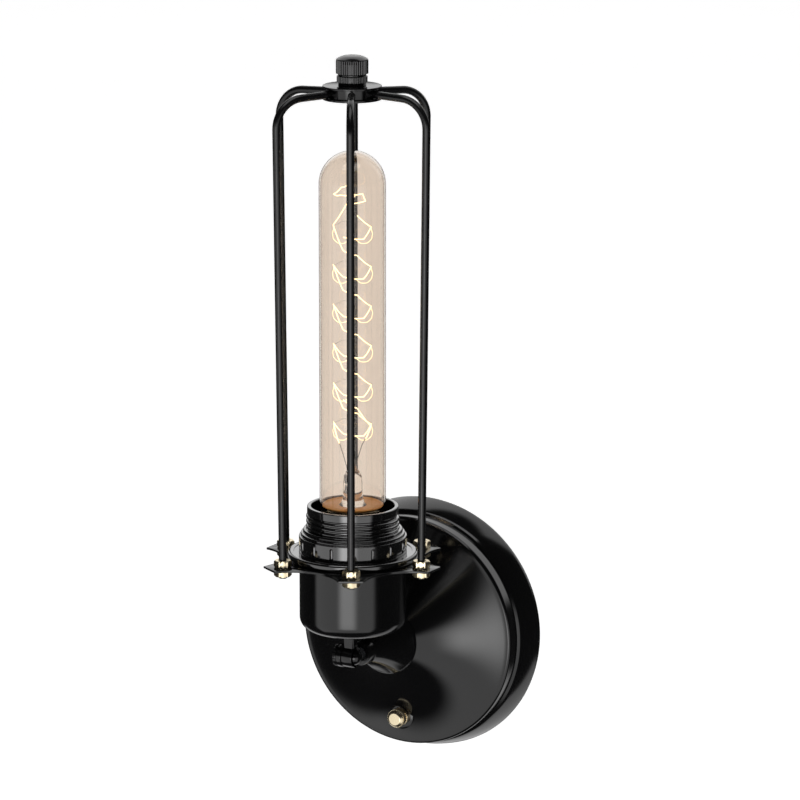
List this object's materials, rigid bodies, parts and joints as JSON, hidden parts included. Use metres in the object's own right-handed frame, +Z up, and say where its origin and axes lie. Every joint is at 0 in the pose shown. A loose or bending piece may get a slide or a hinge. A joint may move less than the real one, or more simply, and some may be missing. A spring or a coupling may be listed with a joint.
{
  "type": "cage wall light",
  "caption": "Wall light with a dished round canopy, a tilting socket cup and a tall rod cage round a tubular bulb.",
  "frame": {"origin": "centre of the canopy on the wall plane, between the two wall slots", "axes": "+Y into the wall, -Y out of the wall, +Z up along the upright lamp"},
  "size_m": [0.1194, 0.1132, 0.3364],
  "materials": {
    "black_enamel": "semi-gloss black enamel",
    "black_moulding": "gloss black phenolic moulding",
    "bright_brass": "bright brass",
    "zinc_steel": "bright zinc plate",
    "amber_glass": "pale amber clear glass",
    "clear_glass": "clear glass",
    "black_glass": "black glass insulator",
    "filament_wire": "glowing carbon filament",
    "nickel_wire": "nickel wire"
  },
  "bodies": {
    "wall_plate": {"canopy": "black_enamel", "crossbar": "zinc_steel", "canopy_studs": "zinc_steel", "arm_nipple": "zinc_steel", "nipple_washer": "zinc_steel", "nipple_nut": "zinc_steel", "arm_neck": "black_enamel", "swivel_screw": "black_enamel"},
    "lower_cap_nut": {"cap_nut_lower": "bright_brass"},
    "upper_cap_nut": {"cap_nut_upper": "bright_brass"},
    "thumb_nut": {"swivel_nut": "black_enamel"},
    "lamp_head": {"swivel_stem": "black_enamel", "socket_cup": "black_enamel", "cup_nut": "zinc_steel", "lampholder": "black_moulding", "screw_shell": "bright_brass", "centre_contact": "bright_brass"},
    "cage": {"star_plate": "black_enamel", "cage_rod_1": "black_enamel", "cage_rod_2": "black_enamel", "cage_rod_3": "black_enamel", "cage_rod_4": "black_enamel", "cage_rod_5": "black_enamel", "cage_rod_6": "black_enamel", "rod_nuts_upper": "bright_brass", "rod_nuts_lower": "bright_brass", "spool_hub": "black_enamel", "spool_cap": "black_enamel", "finial_stud": "zinc_steel"},
    "ring": {"shade_ring": "black_moulding"},
    "finial": {"finial_knob": "black_enamel"},
    "bulb": {"bulb_glass": "amber_glass", "bulb_cap": "bright_brass", "bulb_insulator": "black_glass", "bulb_contact": "zinc_steel", "bulb_stem": "clear_glass", "filament": "filament_wire", "lead_wires": "nickel_wire"}
  },
  "joints": [
    {"name": "lamp_tilt", "type": "hinge", "parent": "wall_plate", "child": "lamp_head", "pos_m": [0, -0.0726, 0], "axis": [1, 0, 0], "range_deg": [-5, 90]},
    {"name": "cage_lift", "type": "slide", "parent": "lamp_head", "child": "cage", "axis": [0, 0, 1], "range_m": [0, 0.19]},
    {"name": "ring_turn", "type": "hinge", "parent": "cage", "child": "ring", "pos_m": [0, -0.0726, 0.052], "axis": [0, 0, 1], "continuous": true},
    {"name": "finial_turn", "type": "hinge", "parent": "cage", "child": "finial", "pos_m": [0, -0.0726, 0.27], "axis": [0, 0, 1], "continuous": true},
    {"name": "bulb_turn", "type": "hinge", "parent": "lamp_head", "child": "bulb", "pos_m": [0, -0.0726, 0.06], "axis": [0, 0, 1], "continuous": true},
    {"name": "thumb_nut_turn", "type": "hinge", "parent": "wall_plate", "child": "thumb_nut", "pos_m": [-0.0073, -0.0726, 0], "axis": [-1, 0, 0], "continuous": true},
    {"name": "lower_cap_nut_turn", "type": "hinge", "parent": "wall_plate", "child": "lower_cap_nut", "pos_m": [0, -0.03, -0.0403], "axis": [0, -1, 0], "continuous": true},
    {"name": "upper_cap_nut_turn", "type": "hinge", "parent": "wall_plate", "child": "upper_cap_nut", "pos_m": [0, -0.03, 0.0403], "axis": [0, -1, 0], "continuous": true}
  ]
}
